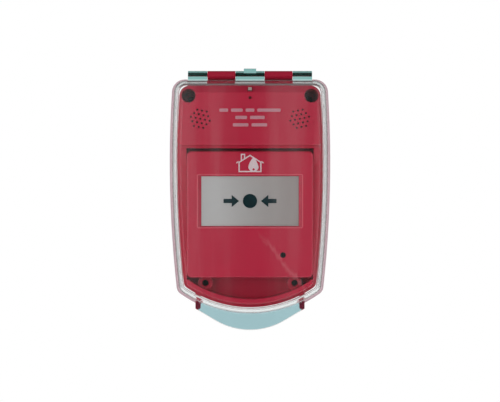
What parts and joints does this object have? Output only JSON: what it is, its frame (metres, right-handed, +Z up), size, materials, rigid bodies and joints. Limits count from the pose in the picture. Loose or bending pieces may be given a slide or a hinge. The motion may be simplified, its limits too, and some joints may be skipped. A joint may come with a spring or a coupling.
{
  "type": "manual call point with guard",
  "caption": "Manual call point with a press-in operating element, in a red wall guard with a sounder head and a clear top-hinged lift cover.",
  "frame": {"origin": "on the wall's face behind the centre of the call point, at the middle of the guard's centre pad", "axes": "+X to the right as seen from the front, +Z up, +Y into the wall, so the front looks along -Y"},
  "size_m": [0.1156, 0.05, 0.1878],
  "materials": {
    "guard_red": "gloss moulded",
    "call_red": "fine satin moulded",
    "box_dark": "matt moulded",
    "gasket_rubber": "soft matt",
    "board_green": "lacquered board",
    "black_plastic": "matt moulded",
    "terminal_plastic": "matt moulded",
    "pale_plastic": "satin moulded",
    "led_lens": "clear tinted",
    "battery_case": "printed sleeve",
    "clear_cover": "clear polished moulded",
    "steel": "plain turned",
    "disc_brass": "plain rolled",
    "print_pale": "printed",
    "print_dark": "printed",
    "element_white": "satin moulded"
  },
  "bodies": {
    "guard": {"battery": "battery_case", "battery_snap": "black_plastic", "call_point_backbox": "box_dark", "call_point_board": "board_green", "call_point_frame": "call_red", "call_point_seal": "gasket_rubber", "call_point_switch": "black_plastic", "call_point_terminals": "terminal_plastic", "cover_switch": "black_plastic", "guard_body": "guard_red", "house_symbol": "print_pale", "left_backbox_screw": "steel", "left_grille_membrane": "gasket_rubber", "left_sounder_can": "black_plastic", "left_sounder_disc": "disc_brass", "lever_pin": "steel", "marking_bar_1": "print_pale", "marking_bar_2": "print_pale", "marking_bar_3": "print_pale", "rear_plate": "box_dark", "rear_plate_screw_1": "steel", "rear_plate_screw_2": "steel", "rear_plate_screw_3": "steel", "rear_plate_screw_4": "steel", "right_backbox_screw": "steel", "right_grille_membrane": "gasket_rubber", "right_sounder_can": "black_plastic", "right_sounder_disc": "disc_brass", "setting_switches": "black_plastic", "sounder_board": "board_green", "sounder_terminals": "terminal_plastic", "status_led": "led_lens", "terminal_screw_1": "steel", "terminal_screw_2": "steel", "terminal_screw_3": "steel", "terminal_screw_4": "steel", "wall_gasket": "gasket_rubber"},
    "cover": {"lift_cover": "clear_cover", "hinge_pin": "steel"},
    "cover_plunger": {"cover_switch_plunger": "pale_plastic"},
    "element": {"operating_element": "element_white", "element_marks": "print_dark"},
    "lever": {"trip_lever": "pale_plastic"},
    "switch_button": {"call_point_switch_button": "pale_plastic"},
    "key": {"key_cam": "steel"}
  },
  "joints": [
    {"name": "cover_hinge", "type": "hinge", "parent": "guard", "child": "cover", "pos_m": [0, -0.006, 0.0999], "axis": [-1, 0, 0], "range_deg": [0, 100]},
    {"name": "cover_switch_slide", "type": "slide", "parent": "guard", "child": "cover_plunger", "axis": [0, -1, 0], "range_m": [0, 0.002]},
    {"name": "element_press", "type": "slide", "parent": "guard", "child": "element", "axis": [0, 1, 0], "range_m": [0, 0.0025]},
    {"name": "lever_turn", "type": "hinge", "parent": "guard", "child": "lever", "pos_m": [0, -0.02, 0.022], "axis": [1, 0, 0], "range_deg": [0, 10.6]},
    {"name": "switch_button_slide", "type": "slide", "parent": "guard", "child": "switch_button", "axis": [0, 1, 0], "range_m": [0, 0.0013]},
    {"name": "key_turn", "type": "hinge", "parent": "guard", "child": "key", "pos_m": [0.023, -0.027, -0.0284], "axis": [0, 1, 0], "range_deg": [0, 90]}
  ],
  "couplings": [
    {"joint": "cover_switch_slide", "follows": "cover_hinge", "m_per_rad": 0.00114},
    {"joint": "lever_turn", "follows": "element_press", "rad_per_m": 71.9},
    {"joint": "switch_button_slide", "follows": "element_press", "ratio": 0.5}
  ]
}
